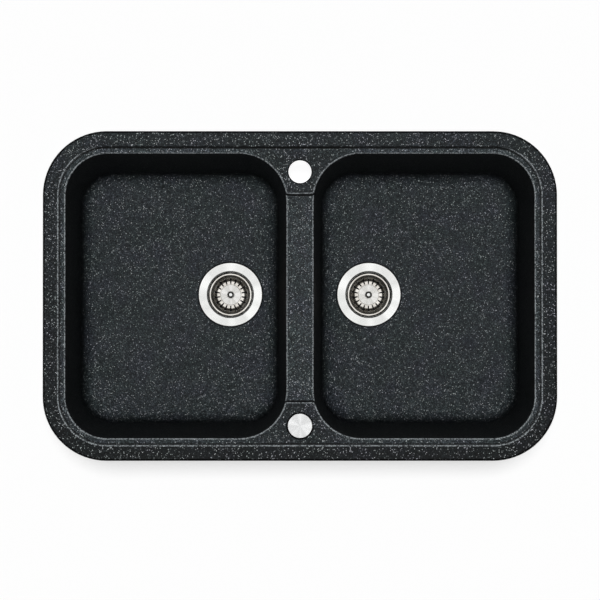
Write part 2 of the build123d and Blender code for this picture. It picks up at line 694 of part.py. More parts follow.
overflow_boss_z = land_foot_z - OVERFLOW_BOSS_HEIGHT
elbow_top_z = overflow_boss_z - ELBOW_GASKET
elbow_foot_z = elbow_top_z - ELBOW_DEPTH
elbow_bore = ELBOW_OUTER - 2 * ELBOW_WALL
tail_tip = ELBOW_OUTER / 2 + TAIL_LENGTH
tail_z = elbow_foot_z + ELBOW_WALL + ELBOW_SUMP + TAIL_BORE / 2
tail_place = Location((0, 0, tail_z), (0, 0, 90))
overflow_gasket = ring(
    ELBOW_FLANGE - 2 * GASKET_MARGIN, OVERFLOW_HOLE + GASKET_MARGIN, elbow_top_z, overflow_boss_z
)
with BuildPart() as overflow_elbow:
    with Locations((0, 0, elbow_top_z)):
        Cylinder(ELBOW_FLANGE / 2, ELBOW_FLANGE_THICKNESS, align=HANGING)
        Cylinder(ELBOW_OUTER / 2, ELBOW_DEPTH, align=HANGING)
    fillet(overflow_elbow.faces().sort_by(Axis.Z)[0].edges(), ELBOW_WALL)
    add(tail_place * hose_tail(0, tail_tip))
    with Locations((0, 0, elbow_top_z)):
        Cylinder(elbow_bore / 2, ELBOW_DEPTH - ELBOW_WALL, align=HANGING, mode=Mode.SUBTRACT)
    with Locations(tail_place * Location((tail_tip, 0, 0), (0, 90, 0))):
        Cylinder(TAIL_BORE / 2, tail_tip, align=HANGING, mode=Mode.SUBTRACT)
    # A post stands up from the elbow's floor and takes the overflow screw.
    with BuildSketch(Plane.XY.offset(elbow_foot_z + ELBOW_WALL / 2)):
        Circle(ELBOW_POST / 2)
    extrude(amount=ELBOW_WALL / 2 + ELBOW_POST_HEIGHT)
    with Locations((0, 0, elbow_top_z)):
        Cylinder(
            OVERFLOW_SCREW / 2, elbow_top_z - screw_end_z, align=HANGING, mode=Mode.SUBTRACT
        )

overflow_pieces = {
    "overflow_cover": overflow_cover.part,
    "overflow_grate": overflow_grate.part,
    "overflow_screw": overflow_screw,
    "overflow_gasket": overflow_gasket,
    "overflow_elbow": overflow_elbow.part,
}
for name, piece in overflow_pieces.items():
    keep(Pos(0, OVERFLOW_Y, 0) * piece, name)

# --- clamps, drawn round the screw's axis with +X towards the worktop ---

screw_bore = SCREW_DIAMETER + 2 * SCREW_CLEARANCE
insert = ring(INSERT_DIAMETER, screw_bore, -BOSS_LENGTH, INSERT_LENGTH - BOSS_LENGTH)
with BuildPart() as clamp_inserts:
    with Locations(*clamp_places):
        add(insert)
keep(clamp_inserts.part, "clamp_inserts")

washer_foot_z = CLAW_BASE_Z - CLAW_GAP - SCREW_WASHER_THICKNESS
with BuildPart() as clamp_screw:
    with BuildSketch(Plane.XY.offset(washer_foot_z - SCREW_HEAD_HEIGHT)):
        RegularPolygon(SCREW_HEAD_FLATS / 2, 6, major_radius=False)
    extrude(amount=SCREW_HEAD_HEIGHT)
    with BuildSketch(Plane.XY.offset(washer_foot_z)):
        Circle(SCREW_WASHER / 2)
    extrude(amount=SCREW_WASHER_THICKNESS)
    with BuildSketch(Plane.XY.offset(washer_foot_z)):
        Circle(SCREW_DIAMETER / 2)
    extrude(amount=SCREW_TOP_Z - washer_foot_z)
    chamfer(clamp_screw.faces().sort_by(Axis.Z)[-1].edges(), SCREW_END_CHAMFER)

with BuildPart() as clamp_claw:
    with BuildSketch(Plane.XY.offset(CLAW_BASE_Z)):
        Circle(CLAW_WIDTH / 2)
        with Locations((CLAW_REACH / 2, 0)):
            Rectangle(CLAW_REACH, CLAW_WIDTH)
    extrude(amount=CLAW_SHEET)
    with BuildSketch(Plane.XY.offset(CLAW_BASE_Z)):
        Circle(CLAW_COLLAR / 2)
    extrude(amount=CLAW_COLLAR_HEIGHT)
    # The arm turns up at its end and bends over into a flat foot that bears on the worktop.
    with BuildSketch(Plane.XZ.offset(-CLAW_WIDTH / 2)):
        with BuildLine():
            Polyline(
                (CLAW_REACH - CLAW_SHEET, CLAW_BASE_Z),
                (CLAW_REACH, CLAW_BASE_Z),
                (CLAW_REACH, CLAW_TIP_Z - CLAW_SHEET),
                (CLAW_REACH + CLAW_FOOT, CLAW_TIP_Z - CLAW_SHEET),
                (CLAW_REACH + CLAW_FOOT, CLAW_TIP_Z),
                (CLAW_REACH - CLAW_SHEET, CLAW_TIP_Z),
                close=True,
            )
        make_face()
    extrude(amount=CLAW_WIDTH)
    with BuildSketch(Plane.XZ.offset(-CLAW_GUSSET / 2)):
        with BuildLine():
            Polyline(
                (CLAW_COLLAR / 2, CLAW_BASE_Z + CLAW_SHEET / 2),
                (CLAW_REACH - CLAW_SHEET / 2, CLAW_BASE_Z + CLAW_SHEET / 2),
                (CLAW_REACH - CLAW_SHEET / 2, CLAW_TIP_Z - 2 * CLAW_SHEET),
                close=True,
            )
        make_face()
    extrude(amount=CLAW_GUSSET)
    with Locations((0, 0, CLAW_BASE_Z + CLAW_COLLAR_HEIGHT)):
        Hole(screw_bore / 2, CLAW_COLLAR_HEIGHT)

# At rest each claw lies along the rim, so that the sink drops through the cut-out.
for number, place in enumerate(clamp_places, 1):
    keep(place * clamp_screw.part, f"clamp_screw_{number}")
    keep(place * Rot(0, 0, -90) * clamp_claw.part, f"clamp_claw_{number}")
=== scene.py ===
import math

import bmesh
import bpy
from mathutils import Matrix, Vector


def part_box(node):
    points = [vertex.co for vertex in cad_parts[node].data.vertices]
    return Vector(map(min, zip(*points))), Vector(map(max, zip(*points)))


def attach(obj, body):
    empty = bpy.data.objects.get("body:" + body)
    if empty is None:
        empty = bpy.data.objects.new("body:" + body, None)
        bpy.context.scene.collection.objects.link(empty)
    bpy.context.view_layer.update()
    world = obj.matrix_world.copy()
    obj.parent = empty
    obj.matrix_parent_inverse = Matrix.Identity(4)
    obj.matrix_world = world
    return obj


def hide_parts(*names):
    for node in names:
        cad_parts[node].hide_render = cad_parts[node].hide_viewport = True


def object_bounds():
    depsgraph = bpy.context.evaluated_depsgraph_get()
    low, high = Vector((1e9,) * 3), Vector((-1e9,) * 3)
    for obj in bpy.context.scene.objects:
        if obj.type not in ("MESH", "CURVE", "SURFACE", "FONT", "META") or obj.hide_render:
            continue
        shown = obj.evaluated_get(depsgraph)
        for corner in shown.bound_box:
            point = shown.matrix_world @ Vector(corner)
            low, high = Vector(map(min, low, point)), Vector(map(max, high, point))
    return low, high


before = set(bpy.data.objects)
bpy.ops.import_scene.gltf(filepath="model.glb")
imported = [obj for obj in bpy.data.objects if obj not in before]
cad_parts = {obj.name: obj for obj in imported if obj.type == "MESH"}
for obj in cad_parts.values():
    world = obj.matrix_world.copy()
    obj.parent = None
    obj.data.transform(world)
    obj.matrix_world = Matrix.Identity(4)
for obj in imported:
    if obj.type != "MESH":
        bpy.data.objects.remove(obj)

# A dark granite composite double bowl sink, seen from straight above on a white floor.
# Metres, +X right, +Y to the tap side, +Z up, origin on the worktop's surface.

MM = 0.001
cad_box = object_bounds()

SINK_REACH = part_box("sink_casting")[1]
RIM_TOP = SINK_REACH.z
SINK_FOOT = cad_box[0].z
SIDES = ("left", "right")
CLAMPS = range(1, 9)


def sink_colour(hex_colour):
    """An sRGB hex colour as the linear values that the shaders take."""
    channels = [int(hex_colour[i : i + 2], 16) / 255 for i in (1, 3, 5)]
    linear = [c / 12.92 if c <= 0.04045 else ((c + 0.055) / 1.055) ** 2.4 for c in channels]
    return (*linear, 1.0)


def node(tree, kind, inputs=None, stops=(), **settings):
    """Add a node and return its outputs.

    Its inputs are values or the outputs that feed them, its stops a ramp's colours.
    """
    made = tree.nodes.new(kind)
    for name, value in settings.items():
        setattr(made, name, value)
    for socket, value in (inputs or {}).items():
        if isinstance(value, bpy.types.NodeSocket):
            tree.links.new(value, made.inputs[socket])
        else:
            made.inputs[socket].default_value = value
    points = made.color_ramp.elements if stops else ()
    for position, hex_colour in stops[1:-1]:
        points.new(position)
    for point, (position, hex_colour) in zip(points, stops):
        point.position = position
        point.color = sink_colour(hex_colour)
    return made.outputs


def new_material(name):
    """An empty node material, with its tree and its principled shader."""
    material = bpy.data.materials.new(name)
    material.use_nodes = True
    return material, material.node_tree, material.node_tree.nodes["Principled BSDF"]


# --- the casting: quartz grit in acrylic resin, cast against a satin mould ---

# Its own sizes, which its material goes by.
RIM_CORNER = 97 * MM
RIM_STEP = 23.5 * MM  # from the outline in to the step down to the ledge
STEP_RADIUS = RIM_CORNER - RIM_STEP
BOWL_AXIS = 188 * MM
DECK = 6 * MM  # the ledge and lands round the bowls; the saddle lies 8 mm lower
SADDLE = -2 * MM
TAP_HOLE = Vector((0, 188.6 * MM, 0))
TAP_HOLE_RADIUS = 17.5 * MM

# What it is made of.
GRIT = 1.0 * MM  # the real grit is 0.3 to 0.8 mm; drawn nearly as coarse as a pixel, to show
GRIT_TONES = [(0.0, "#0A0C0D"), (0.4, "#1E2325"), (0.8, "#373E42"), (1.0, "#5E666A")]
GRIT_SWING = (0.12, 1.88)  # up on the rim, where single grains differ most
GRIT_ROUGHNESS = (0.5, 0.68)
GRIT_STAND = 0.08 * MM  # how far the grit stands out of the resin
GRIT_STAND_SHARE = 0.35  # of it shows: resin fills up most of the rest
QUARTZ = 1.4 * MM  # coarser than the real 0.8 mm, for the same reason
QUARTZ_WHITE = "#D5DADC"
QUARTZ_EDGE = (0.5, 0.3)  # a grain's reach in its cell, from its edge to its full white
QUARTZ_SHARE = (0.86, 1.0)  # only one cell in seven is a pale grain, and few are quite white
ASKEW = (0.55, 0.35, 0.8)  # radians, about all three axes
CLOUD = 45 * MM  # the resin's faint tints change over this distance
CLOUD_TINTS = [(0.35, "#E6ECE8"), (0.5, "#F4F4F4"), (0.65, "#EEEAF4")]
RESIN_IOR = 1.5

# Painted highlights along its rounded edges, and how they break up.
HIGHLIGHT_GREY = "#8F9598"
HIGHLIGHT_BREAKUP = 2.4 * MM  # over a pixel along the arrises, so the pale lines break up as real ones do
HIGHLIGHT_PATCHES = (0.38, 0.62)  # of the noise, from the least worn to the most
HIGHLIGHT_STRENGTH = (0.1, 1.9)
HIGHLIGHT_ON_GRIT = (0.15, 1.35)  # some grit takes the painted highlight and some hardly does

# How much of its own colour a place shows under the painted shade lines, where 1 is all of it.
RISER_SHADE = 0.15
RING_SHADE = 0.12
RING_START = 1.6 * MM  # past the edge of what stands in the hole
RING_END = 2.8 * MM
TAP_RING_INSET = 1.0 * MM  # nothing covers the tap hole's edge, so its line starts nearer
WALL_SHEEN = 0.4
SHEEN = 0.5

# Its zones: what each goes by, where it starts and where it is in full force. Where two more
# numbers follow, they are the tones that it starts and ends with in place of 0 and 1.
ZONES = {
    # By height above the worktop.
    "raised": ("height", -120 * MM, -20 * MM),  # above the bowls' floors
    "ledge_tone": ("height", -120 * MM, -20 * MM, 0.74, 0.94),
    "rim": ("height", RIM_TOP - 2 * MM, RIM_TOP - 1 * MM),
    "outer_edge": ("height", RIM_TOP - 4 * MM, RIM_TOP - 3 * MM),
    "deck_edge": ("height", DECK - 3.0 * MM, DECK - 2.6 * MM),
    "saddle_edge": ("height", SADDLE + 0.1 * MM, SADDLE - 0.02 * MM),
    "above_walls": ("height", SADDLE - 7 * MM, SADDLE - 5 * MM),
    "below_land": ("height", DECK - 2.2 * MM, DECK - 3 * MM),
    "above_saddle": ("height", SADDLE + 0.05 * MM, SADDLE + 0.4 * MM),
    # By slope: 1 looks straight up, 0 is upright.
    "tilted": ("slope", 0.995, 0.96),
    "leaning": ("slope", 0.4, 0.6),
    "upright": ("slope", 0.6, 0.3),
    # painted shade: the steeper a face, the darker its colour
    "slope_shade": ("slope", 0.45, 0.95, 0.18, 1.0),
    # By how far out a point lies from the rectangle that the rim's corners turn round.
    "inside": ("run", STEP_RADIUS + 8 * MM, STEP_RADIUS + 4 * MM),
    "foot_start": ("run", STEP_RADIUS - 3.6 * MM, STEP_RADIUS - 3.0 * MM),
    "foot_end": ("run", STEP_RADIUS - 0.2 * MM, STEP_RADIUS - 0.8 * MM),
    "line_start": ("run", STEP_RADIUS - 0.2 * MM, STEP_RADIUS),
    "line_end": ("run", STEP_RADIUS + 1.7 * MM, STEP_RADIUS + 1.1 * MM),
    # painted shade on the rim's rounded outer edge
    "brink_shade": ("run", RIM_CORNER - 3.4 * MM, RIM_CORNER - 2.6 * MM, 1.0, 0.15),
    # By how far back a point lies: the back edges look away from the light, the rim's own tone
    # darkens towards the front as painted shade, and a painted highlight lights the ledge's
    # back.
    "lit": ("back", 226.2 * MM, 206 * MM),
    "rim_tone_and_shade": ("back", -SINK_REACH.y, SINK_REACH.y, 0.24, 0.61),
    "back_highlight": ("back", 212 * MM, 222 * MM, 1.0, 1.4),
    # By how far a point lies from the middle, to either side or to the front and back.
    "amid": ("aside", 105 * MM, 45 * MM),
    "between": ("aside", 44 * MM, 34 * MM),
    # painted shade: the darkest the walls' colour goes, a little lighter at the front and back
    # walls
    "wall_shade": ("front_or_back", 160 * MM, 200 * MM, 0.15, 0.22),
    # By how far a face looks away from its bowl's axis.
    "outer": ("outward", -5 * MM, 5 * MM),
}

# Zones where several others meet.
MEETINGS = {
    "turning": ("inside", "tilted", "leaning"),
    "low_edge": ("saddle_edge", "above_walls"),
    "step_line": ("rim", "line_start", "line_end"),
    "on_land": ("amid", "deck_edge"),
    "foot": ("foot_start", "foot_end"),
    "land_riser": ("between", "below_land", "above_saddle"),
}

# What a zone does, outside it and in full force.
EFFECTS = {
    "standout": ("raised", 1.0, 1.4),  # grains stand out more than down on the floors
    "hardness": ("lit", 6.0, 1.0),  # edges that look away from the light darken sooner
    "land_gain": ("on_land", 1.0, 0.6),  # the lands are darker than the ledge
    # painted shade in the crease at the step's foot, deeper where it looks away from the light
    "foot_shade": ("lit", 0.12, 0.28),
    "foot_shade_gain": ("amid", 1.0, 0.3),  # and the painted shade at the step's foot is blacker along them
}


def casting_measures(tree, place):
    """What the casting's zones go by, at each point of its surface."""
    at = node(tree, "ShaderNodeSeparateXYZ", {0: place})
    facing = node(tree, "ShaderNodeNewGeometry")["Normal"]
    slope = node(tree, "ShaderNodeSeparateXYZ", {0: facing})["Z"]
    mirrored = node(tree, "ShaderNodeVectorMath", {0: place}, operation="ABSOLUTE")[0]
    across = node(tree, "ShaderNodeSeparateXYZ", {0: mirrored})
    beyond = node(
        tree,
        "ShaderNodeVectorMath",
        {0: mirrored, 1: (SINK_REACH.x - RIM_CORNER, SINK_REACH.y - RIM_CORNER, 1)},
        operation="SUBTRACT",
    )[0]
    positive = node(
        tree, "ShaderNodeVectorMath", {0: beyond, 1: (0, 0, 0)}, operation="MAXIMUM"
    )[0]
    run = node(tree, "ShaderNodeVectorMath", {0: positive}, operation="LENGTH")["Value"]
    side = node(tree, "ShaderNodeVectorMath", {0: place}, operation="SIGN")[0]
    turned = node(
        tree, "ShaderNodeVectorMath", {0: facing, 1: side}, operation="MULTIPLY"
    )[0]
    from_axis = node(
        tree, "ShaderNodeVectorMath", {0: mirrored, 1: (BOWL_AXIS, 0, 0)}, operation="SUBTRACT"
    )[0]
    outward = node(
        tree, "ShaderNodeVectorMath", {0: turned, 1: from_axis}, operation="DOT_PRODUCT"
    )["Value"]
    return {
        "height": at["Z"],
        "slope": slope,
        "run": run,
        "back": at["Y"],
        "aside": across["X"],
        "front_or_back": across["Y"],
        "outward": outward,
    }


def casting_zones(tree, place):
    """Masks and tones for the casting's zones, by name."""
    measures = casting_measures(tree, place)
    zone = {}
    for name, (measure, *ends) in ZONES.items():
        sockets = dict(zip(("From Min", "From Max", "To Min", "To Max"), ends))
        zone[name] = node(
            tree, "ShaderNodeMapRange", {"Value": measures[measure], **sockets}
        )[0]
    for name, (first, *others) in MEETINGS.items():
        zone[name] = zone[first]
        for other in others:
            zone[name] = node(
                tree, "ShaderNodeMath", {0: zone[name], 1: zone[other]}, operation="MULTIPLY"
            )[0]
    for name, (cause, without, full) in EFFECTS.items():
        zone[name] = node(
            tree,
            "ShaderNodeMapRange",
            {"Value": zone[cause], "To Min": without, "To Max": full},
        )[0]
    return zone


def painted_shade_rings(tree, place, upright):
    """Thin lines of painted shadow round the strainers, the overflow's cover and the tap hole.

    They stand for the shade under the edge of what stands in a hole, where no light gets in,
    and for the shade inside the tap hole's own sharp edge. Only faces that look up show the
    lines.
    """
    flat = node(
        tree, "ShaderNodeVectorMath", {0: place, 1: (1, 1, 0)}, operation="MULTIPLY"
    )[0]
    rings = [(TAP_HOLE, TAP_HOLE_RADIUS - TAP_RING_INSET)]
    for name in ("strainer_flange_left", "strainer_flange_right", "overflow_cover"):
        low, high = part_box(name)
        rings.append(((low + high) / 2, (high.x - low.x) / 2))
    tone = 1.0
    for axis, reach in rings:
        from_axis = node(
            tree,
            "ShaderNodeVectorMath",
            {0: flat, 1: (axis.x, axis.y, 0)},
            operation="DISTANCE",
        )["Value"]
        ring = node(
            tree,
            "ShaderNodeMapRange",
            {
                "Value": from_axis,
                "From Min": reach + RING_START,
                "From Max": reach + RING_END,
                "To Min": RING_SHADE,
                "To Max": 1.0,
            },
        )[0]
        tone = node(tree, "ShaderNodeMath", {0: ring, 1: tone}, operation="MULTIPLY")[0]
    return node(tree, "ShaderNodeMath", {0: tone, 1: upright}, operation="MAXIMUM")[0]


def painted_shade_lines(tree, zone):
    """Painted shade at the step's foot, on the rim's rounded outer edge and on the lands'
    risers.

    Seen from above they are dark lines.
    """
    foot_shade = node(
        tree,
        "ShaderNodeMath",
        {0: zone["foot_shade"], 1: zone["foot_shade_gain"]},
        operation="MULTIPLY",
    )[0]
    return [
        node(tree, "ShaderNodeMix", {"Factor": zone[name], "A": 1.0, "B": tone})["Result"]
        for name, tone in (
            ("foot", foot_shade),
            ("outer_edge", zone["brink_shade"]),
            ("land_riser", RISER_SHADE),
        )
    ]


def painted_highlight_arrises(tree, place, zone, on_grit):
    """How strongly the painted highlights show on the rounded edges above the walls, and on the
    rim's side of the step.
    """
    convex = node(
        tree,
        "ShaderNodeMath",
        {0: zone["deck_edge"], 1: zone["low_edge"]},
        operation="MAXIMUM",
    )[0]
    rounded = node(
        tree, "ShaderNodeMath", {0: zone["turning"], 1: convex}, operation="MULTIPLY"
    )[0]
    arris = node(
        tree, "ShaderNodeMath", {0: rounded, 1: zone["step_line"]}, operation="MAXIMUM"
    )[0]
    patches = node(
        tree, "ShaderNodeTexNoise", {"Vector": place, "Scale": 1 / HIGHLIGHT_BREAKUP, "Detail": 1.0}
    )["Fac"]
    broken_up = node(
        tree,
        "ShaderNodeMapRange",
        {
            "Value": patches,
            "From Min": HIGHLIGHT_PATCHES[0],
            "From Max": HIGHLIGHT_PATCHES[1],
            "To Min": HIGHLIGHT_STRENGTH[0],
            "To Max": HIGHLIGHT_STRENGTH[1],
        },
    )[0]
    for part in (zone["lit"], on_grit, broken_up):
        arris = node(tree, "ShaderNodeMath", {0: arris, 1: part}, operation="MULTIPLY")[0]
    return arris


def cast_granite_composite():
    """Charcoal resin full of dark grit with small pale quartz grains, matt from a satin mould.

    Painted shade darkens steep faces, so walls, risers and the outer edge read as black, and
    painted highlights run as thin pale lines along the rounded arrises of mouths, lands and
    step.
    """
    material, tree, shader = new_material("cast_granite_composite")
    place = node(tree, "ShaderNodeTexCoord")["Object"]
    zone = casting_zones(tree, place)
    foot_shade_line, edge_shade_line, riser_shade_line = painted_shade_lines(tree, zone)
    ring_shade = painted_shade_rings(tree, place, zone["upright"])

    # Grit, and quartz grains over it, each as big as its Voronoi cell lets it be.
    # The cells lie askew to the walls, which would otherwise show them in rows.
    askew = node(tree, "ShaderNodeMapping", {"Vector": place, "Rotation": ASKEW})["Vector"]
    grit = node(tree, "ShaderNodeTexVoronoi", {"Vector": askew, "Scale": 1 / GRIT})
    grit_tone = node(tree, "ShaderNodeSeparateColor", {"Color": grit["Color"]})
    body = node(tree, "ShaderNodeValToRGB", {"Fac": grit_tone["Red"]}, GRIT_TONES)["Color"]
    quartz = node(tree, "ShaderNodeTexVoronoi", {"Vector": askew, "Scale": 1 / QUARTZ})
    quartz_tone = node(tree, "ShaderNodeSeparateColor", {"Color": quartz["Color"]})
    near, pale = (
        node(
            tree,
            "ShaderNodeMapRange",
            {"Value": measure, "From Min": ends[0], "From Max": ends[1]},
        )[0]
        for measure, ends in (
            (quartz["Distance"], QUARTZ_EDGE),
            (quartz_tone["Green"], QUARTZ_SHARE),
        )
    )
    on_grit, swing, roughness = (
        node(
            tree,
            "ShaderNodeMapRange",
            {"Value": measure, "To Min": ends[0], "To Max": ends[1]},
        )[0]
        for measure, ends in (
            (grit_tone["Green"], HIGHLIGHT_ON_GRIT),
            (grit_tone["Blue"], GRIT_SWING),
            (grit_tone["Blue"], GRIT_ROUGHNESS),
        )
    )

    # Painted shade: walls and risers darken with their slope, but not on the sink's outside.
    shade = node(
        tree,
        "ShaderNodeMath",
        {0: zone["slope_shade"], 1: zone["hardness"]},
        operation="POWER",
    )[0]
    for least in (zone["wall_shade"], zone["outer"]):
        shade = node(tree, "ShaderNodeMath", {0: shade, 1: least}, operation="MAXIMUM")[0]
    # The ledge's and the rim's own tones, with the painted highlight along the back of the
    # ledge and the painted shade towards the rim's front.
    ledge_tone = zone["ledge_tone"]
    for part in (zone["back_highlight"], zone["land_gain"]):
        ledge_tone = node(
            tree, "ShaderNodeMath", {0: ledge_tone, 1: part}, operation="MULTIPLY"
        )[0]
    level_tone = node(
        tree,
        "ShaderNodeMix",
        {"Factor": zone["rim"], "A": ledge_tone, "B": zone["rim_tone_and_shade"]},
    )["Result"]
    grain_tone = node(
        tree, "ShaderNodeMix", {"Factor": zone["raised"], "A": 1.0, "B": swing}
    )["Result"]
    tone = shade
    for part in (level_tone, foot_shade_line, edge_shade_line, riser_shade_line, grain_tone, ring_shade):
        tone = node(tree, "ShaderNodeMath", {0: tone, 1: part}, operation="MULTIPLY")[0]
    shaded = node(
        tree, "ShaderNodeVectorMath", {0: body, "Scale": tone}, operation="SCALE"
    )[0]
    sparkle = near
    for part in (pale, zone["standout"], shade, ring_shade, foot_shade_line, edge_shade_line, riser_shade_line):
        sparkle = node(
            tree, "ShaderNodeMath", {0: sparkle, 1: part}, operation="MULTIPLY"
        )[0]
    speckled = node(
        tree,
        "ShaderNodeMix",
        {"Factor": sparkle, "A": shaded, "B": sink_colour(QUARTZ_WHITE)},
        data_type="RGBA",
    )["Result"]
    cloud = node(
        tree, "ShaderNodeTexNoise", {"Vector": place, "Scale": 1 / CLOUD, "Detail": 2.0}
    )["Fac"]
    tint = node(tree, "ShaderNodeValToRGB", {"Fac": cloud}, CLOUD_TINTS)["Color"]
    mottled = node(
        tree,
        "ShaderNodeMix",
        {"Factor": 1.0, "A": speckled, "B": tint},
        data_type="RGBA",
        blend_type="MULTIPLY",
    )["Result"]
    # Painted highlights along the arrises, in a pale grey.
    arris = painted_highlight_arrises(tree, place, zone, on_grit)
    finished = node(
        tree,
        "ShaderNodeMix",
        {"Factor": arris, "A": mottled, "B": sink_colour(HIGHLIGHT_GREY)},
        data_type="RGBA",
    )["Result"]
    sheen = node(
        tree, "ShaderNodeMapRange", {"Value": shade, "To Min": WALL_SHEEN, "To Max": 1.0}
    )[0]
    for part in (edge_shade_line, ring_shade, SHEEN):
        sheen = node(tree, "ShaderNodeMath", {0: sheen, 1: part}, operation="MULTIPLY")[0]
    bump = node(
        tree,
        "ShaderNodeBump",
        {"Height": grit["Distance"], "Strength": GRIT_STAND_SHARE, "Distance": GRIT_STAND},
    )["Normal"]
    for socket, value in (
        ("Base Color", finished),
        ("Roughness", roughness),
        ("Specular IOR Level", sheen),
        ("Normal", bump),
    ):
        tree.links.new(value, shader.inputs[socket])
    shader.inputs["IOR"].default_value = RESIN_IOR
    return material


# --- spun, plated, turned and moulded finishes ---

TURNING = 0.35 * MM  # feed of the polishing wheel, drawn coarser than the real 0.1 mm
TURNING_DEPTH = 0.02 * MM
TURNING_ROUGHNESS = 0.07  # to either side of the finish's own
FAN = 1.7  # how often the painted reflection's sectors change round a turn
FAN_REFLECTION_SECTORS = (0.38, 0.62)
WALL_SLOPE = 0.5  # 1 is level: steeper than this a wall takes the full painted shade
UNSHADED_SLOPE = 0.9  # and past this none of it
GRAIN_DEPTH = 0.05 * MM
GRAIN_DEPTH_SHARE = 0.15
GRAIN_ROUGHNESS = 0.08
GRAIN_SPOTS = (0.35, 0.65)  # where the noise shows a finish's darker and paler colour


def spun_steel(name, centre, colours, roughness, line_depth, wall_shade=1.0):
    """Stainless sheet spun and polished round its axis.

    The fan that its fine rings spread each highlight into is painted into its colour, as a
    painted reflection where soft pale and grey sectors meet in the middle as on a turned disc.
    Steep walls take painted shade, and show as dark grey beside the bright flats.
    """
    material, tree, shader = new_material(name)
    place = node(tree, "ShaderNodeTexCoord")["Object"]
    moved = node(
        tree,
        "ShaderNodeVectorMath",
        {0: place, 1: (centre.x, centre.y, 0)},
        operation="SUBTRACT",
    )[0]
    out = node(
        tree, "ShaderNodeVectorMath", {0: moved, 1: (1, 1, 0)}, operation="MULTIPLY"
    )[0]
    radius = node(tree, "ShaderNodeVectorMath", {0: out}, operation="LENGTH")["Value"]
    along = node(tree, "ShaderNodeMath", {0: radius, 1: 1 / TURNING}, operation="MULTIPLY")[0]
    lines = node(
        tree,
        "ShaderNodeTexNoise",
        {"W": along, "Scale": 1.0, "Detail": 2.0},
        noise_dimensions="1D",
    )["Fac"]
    gloss = node(
        tree,
        "ShaderNodeMapRange",
        {
            "Value": lines,
            "To Min": roughness - TURNING_ROUGHNESS,
            "To Max": roughness + TURNING_ROUGHNESS,
        },
    )[0]
    heading = node(tree, "ShaderNodeVectorMath", {0: out}, operation="NORMALIZE")[0]
    # Painted reflection: pale and grey sectors round the axis.
    fan = node(
        tree, "ShaderNodeTexNoise", {"Vector": heading, "Scale": FAN, "Detail": 1.0}
    )["Fac"]
    sectors = node(
        tree, "ShaderNodeValToRGB", {"Fac": fan}, list(zip(FAN_REFLECTION_SECTORS, colours))
    )["Color"]
    facing = node(tree, "ShaderNodeNewGeometry")["Normal"]
    upward = node(tree, "ShaderNodeSeparateXYZ", {0: facing})["Z"]
    level = node(tree, "ShaderNodeMath", {0: upward}, operation="ABSOLUTE")[0]
    # Painted shade on steep walls.
    drawn = node(
        tree,
        "ShaderNodeMapRange",
        {
            "Value": level,
            "From Min": WALL_SLOPE,
            "From Max": UNSHADED_SLOPE,
            "To Min": wall_shade,
            "To Max": 1.0,
        },
    )[0]
    skin = node(
        tree, "ShaderNodeVectorMath", {0: sectors, "Scale": drawn}, operation="SCALE"
    )[0]
    bump = node(
        tree,
        "ShaderNodeBump",
        {"Height": lines, "Strength": line_depth, "Distance": TURNING_DEPTH},
    )["Normal"]
    for socket, value in (("Roughness", gloss), ("Base Color", skin), ("Normal", bump)):
        tree.links.new(value, shader.inputs[socket])
    shader.inputs["Metallic"].default_value = 1.0
    return material


def even_grained(name, colours, roughness, grain, metallic=1.0):
    """A finish with an even, directionless grain, as plated, turned or moulded."""
    material, tree, shader = new_material(name)
    place = node(tree, "ShaderNodeTexCoord")["Object"]
    spots = node(
        tree, "ShaderNodeTexNoise", {"Vector": place, "Scale": 1 / grain, "Detail": 4.0}
    )["Fac"]
    spotted = node(
        tree, "ShaderNodeValToRGB", {"Fac": spots}, list(zip(GRAIN_SPOTS, colours))
    )["Color"]
    gloss = node(
        tree,
        "ShaderNodeMapRange",
        {
            "Value": spots,
            "To Min": roughness - GRAIN_ROUGHNESS,
            "To Max": roughness + GRAIN_ROUGHNESS,
        },
    )[0]
    bump = node(
        tree,
        "ShaderNodeBump",
        {"Height": spots, "Strength": GRAIN_DEPTH_SHARE, "Distance": GRAIN_DEPTH},
    )["Normal"]
    for socket, value in (("Base Color", spotted), ("Roughness", gloss), ("Normal", bump)):
        tree.links.new(value, shader.inputs[socket])
    shader.inputs["Metallic"].default_value = metallic
    return material


composite = cast_granite_composite()
# The grains below are drawn coarser than the real 0.1 to 0.3 mm, so that they show.
# Zinc plated on pressed steel: bluish grey, with a soft even gloss.
zinc = even_grained("zinc_plated_pressed_steel", ("#A9AEB3", "#C6C9CB"), 0.38, 1.2 * MM)
# Stainless bar, turned: a warmer grey, and brighter than the plating.
turned_stainless = even_grained(
    "turned_stainless_screws", ("#B4B3AF", "#CFCECA"), 0.3, 0.6 * MM
)
# Brass bar, turned: yellow, with a close grain.
brass = even_grained("turned_brass_inserts", ("#B08A45", "#C9A560"), 0.33, 0.8 * MM)
# Polypropylene from a fine-blasted mould: white, and a little waxy.
polypropylene = even_grained(
    "moulded_white_polypropylene", ("#DCDCD8", "#E8E8E4"), 0.42, 2.5 * MM, metallic=0.0
)
# Moulded rubber: black, and dull all over.
rubber = even_grained(
    "moulded_black_rubber", ("#0A0A0A", "#161616"), 0.75, 0.9 * MM, metallic=0.0
)


def dress(material, *names):
    """Give CAD nodes a finish."""
    for name in names:
        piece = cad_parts[name]
        piece.data.materials.clear()
        piece.data.materials.append(material)


